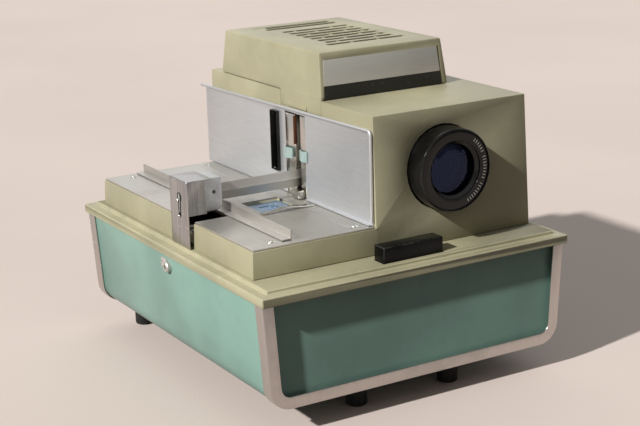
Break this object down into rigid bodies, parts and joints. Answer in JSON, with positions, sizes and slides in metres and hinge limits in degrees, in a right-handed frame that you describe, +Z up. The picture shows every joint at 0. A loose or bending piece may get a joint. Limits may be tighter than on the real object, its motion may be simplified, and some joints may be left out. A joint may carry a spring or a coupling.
{
  "type": "slide projector",
  "caption": "Slide projector in a two-tone case, with a straight tray channel on the left, a pull-out slide changer, a lift-off louvred lamp cover and a focusing lens.",
  "frame": {"origin": "on the table, under the middle of the deck's outline", "axes": "+Z up, the lens looks along -Y, the tray channel is on the -X side"},
  "size_m": [0.24, 0.28, 0.224],
  "materials": {
    "body_paint": "satin cream olive enamel",
    "case_paint": "satin teal green enamel",
    "trim": "satin",
    "sheet": "satin",
    "bright_plate": "worn nickel plate",
    "steel": "bright steel",
    "black_metal": "satin black",
    "black_plastic": "smooth black",
    "lens_black": "gloss black",
    "nylon": "cream nylon",
    "aqua_plastic": "translucent blue green",
    "rubber": "matte",
    "glass": "clear, coated",
    "mirror": "polished",
    "socket_ceramic": "matte"
  },
  "bodies": {
    "base": {"case_shell": "case_paint", "front_panel": "case_paint", "rear_panel": "case_paint", "front_trim": "trim", "rear_trim": "trim", "keeper_left": "bright_plate", "keeper_right": "bright_plate", "deck": "body_paint", "upper_housing": "body_paint", "bay_liner": "sheet", "tray_bed": "sheet", "tray_rail": "sheet", "detent_spring": "steel", "gate_guide_rear": "steel", "gate_guide_front": "steel", "gate_finger_rear": "aqua_plastic", "gate_finger_front": "aqua_plastic", "gate_block": "nylon", "slide_gate": "black_metal", "changer_track": "sheet", "bar_hanger": "steel", "release_spring": "steel", "rear_foot_left": "rubber", "rear_foot_right": "rubber", "leg_bush_left": "nylon", "leg_bush_right": "nylon", "lens_mount": "sheet", "lamp_bulb": "glass", "lamp_base": "steel", "lamp_socket": "socket_ceramic", "lamp_bracket": "steel", "reflector": "mirror", "condenser_front": "glass", "condenser_rear": "glass", "heat_glass": "glass", "condenser_cell": "black_metal", "lamp_house": "steel", "fan_motor": "steel", "fan_shroud": "black_metal", "motor_cradle": "steel", "power_inlet": "black_plastic", "switch_body": "black_plastic"},
    "cover": {"lamp_cover": "body_paint", "cover_plate": "trim"},
    "changer": {"changer_handle": "bright_plate", "changer_block": "nylon", "changer_arm": "steel", "changer_runner": "steel"},
    "index": {"index_slide": "steel"},
    "focus": {"focus_sleeve": "sheet"},
    "lens": {"lens_barrel": "lens_black", "lens_front_ring": "black_metal", "front_glass": "glass", "rear_glass": "glass"},
    "press_bar": {"release_bar": "black_plastic"},
    "legs": {"leg_frame": "steel", "front_foot_left": "rubber", "front_foot_right": "rubber"},
    "fan": {"fan_rotor": "sheet"},
    "knob": {"switch_knob": "black_plastic"}
  },
  "joints": [
    {"name": "cover_lift", "type": "slide", "parent": "base", "child": "cover", "axis": [0, 0, 1], "range_m": [0, 0.09]},
    {"name": "changer_pull", "type": "slide", "parent": "base", "child": "changer", "axis": [-1, 0, 0], "range_m": [0, 0.086]},
    {"name": "index_travel", "type": "slide", "parent": "base", "child": "index", "axis": [0, 1, 0], "range_m": [0, 0.0055]},
    {"name": "focus_travel", "type": "slide", "parent": "base", "child": "focus", "axis": [0, -1, 0], "range_m": [-0.008, 0.012]},
    {"name": "focus_turn", "type": "hinge", "parent": "focus", "child": "lens", "pos_m": [0.0375, -0.06, 0.151], "axis": [0, -1, 0], "range_deg": [-144, 216]},
    {"name": "bar_press", "type": "slide", "parent": "base", "child": "press_bar", "axis": [0, 0, -1], "range_m": [0, 0.004], "stiffness_N_per_m": 500, "springref_m": -0.004, "deforming": ["release_spring"]},
    {"name": "leg_travel", "type": "slide", "parent": "base", "child": "legs", "axis": [0, 0, -1], "range_m": [0, 0.03]},
    {"name": "fan_axis", "type": "hinge", "parent": "base", "child": "fan", "pos_m": [-0.0115, -0.04, 0.0595], "axis": [1, 0, 0], "continuous": true},
    {"name": "switch_axis", "type": "hinge", "parent": "base", "child": "knob", "pos_m": [0.025, 0.1323, 0.05], "axis": [0, 1, 0], "range_deg": [0, 90]}
  ],
  "couplings": [
    {"joint": "index_travel", "follows": "changer_pull", "ratio": 0.06395},
    {"joint": "focus_travel", "follows": "focus_turn", "m_per_rad": 0.00318}
  ]
}
